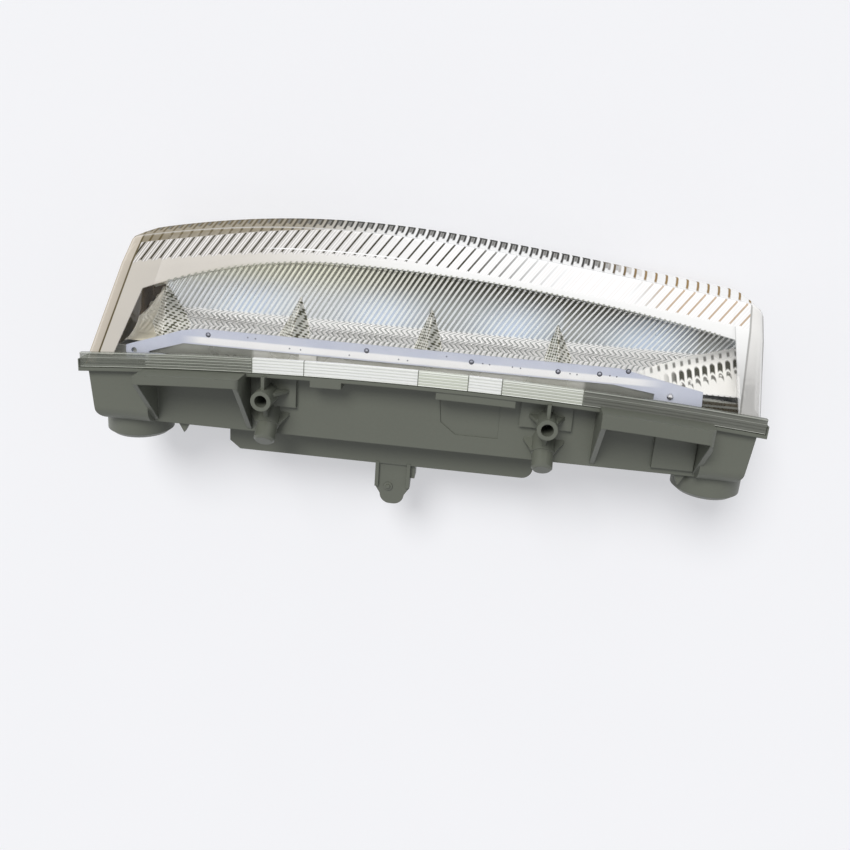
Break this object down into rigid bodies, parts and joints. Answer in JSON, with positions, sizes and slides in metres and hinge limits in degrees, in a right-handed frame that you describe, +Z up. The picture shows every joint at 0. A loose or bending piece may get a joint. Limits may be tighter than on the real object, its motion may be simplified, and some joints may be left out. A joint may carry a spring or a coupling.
{
  "type": "daytime running light",
  "caption": "Long daytime running light: clear ribbed wedge cover over a fluted reflector and LED board, in a grey moulded housing with bracket plates, screw bosses and pegs.",
  "frame": {"origin": "middle of the bounding box at its lowest level, where the lamp lies on its broad side", "axes": "+X along the lamp, +Y the way the lamp shines, +Z up through its upper broad side"},
  "size_m": [0.305, 0.1323, 0.068],
  "materials": {
    "grey_plastic": "satin",
    "clear_cover": "clear gloss",
    "sealant": "matte",
    "mirror_coat": "mirror",
    "white_board": "satin",
    "led_package": "gloss",
    "bright_metal": "bright",
    "green_board": "gloss",
    "black_plastic": "matte",
    "capacitor_can": "satin",
    "terminal_metal": "satin",
    "cable_film": "gloss",
    "white_film": "matte"
  },
  "bodies": {
    "root": {"housing": "grey_plastic", "lens": "clear_cover", "sealing_bead": "sealant", "reflector": "mirror_coat", "led_board": "white_board", "led_1": "led_package", "led_2": "led_package", "led_3": "led_package", "led_4": "led_package", "board_rivet": "bright_metal", "reflector_screws": "bright_metal", "driver_board": "green_board", "driver_screws": "bright_metal", "driver_chip": "black_plastic", "inductor": "black_plastic", "capacitor_1": "capacitor_can", "capacitor_2": "capacitor_can", "protection_diode": "black_plastic", "shunt_resistors": "black_plastic", "pin_header": "black_plastic", "terminal_1": "terminal_metal", "terminal_2": "terminal_metal", "flat_cable": "cable_film", "vent_membrane": "white_film", "vent_cap": "black_plastic"}
  },
  "joints": []
}
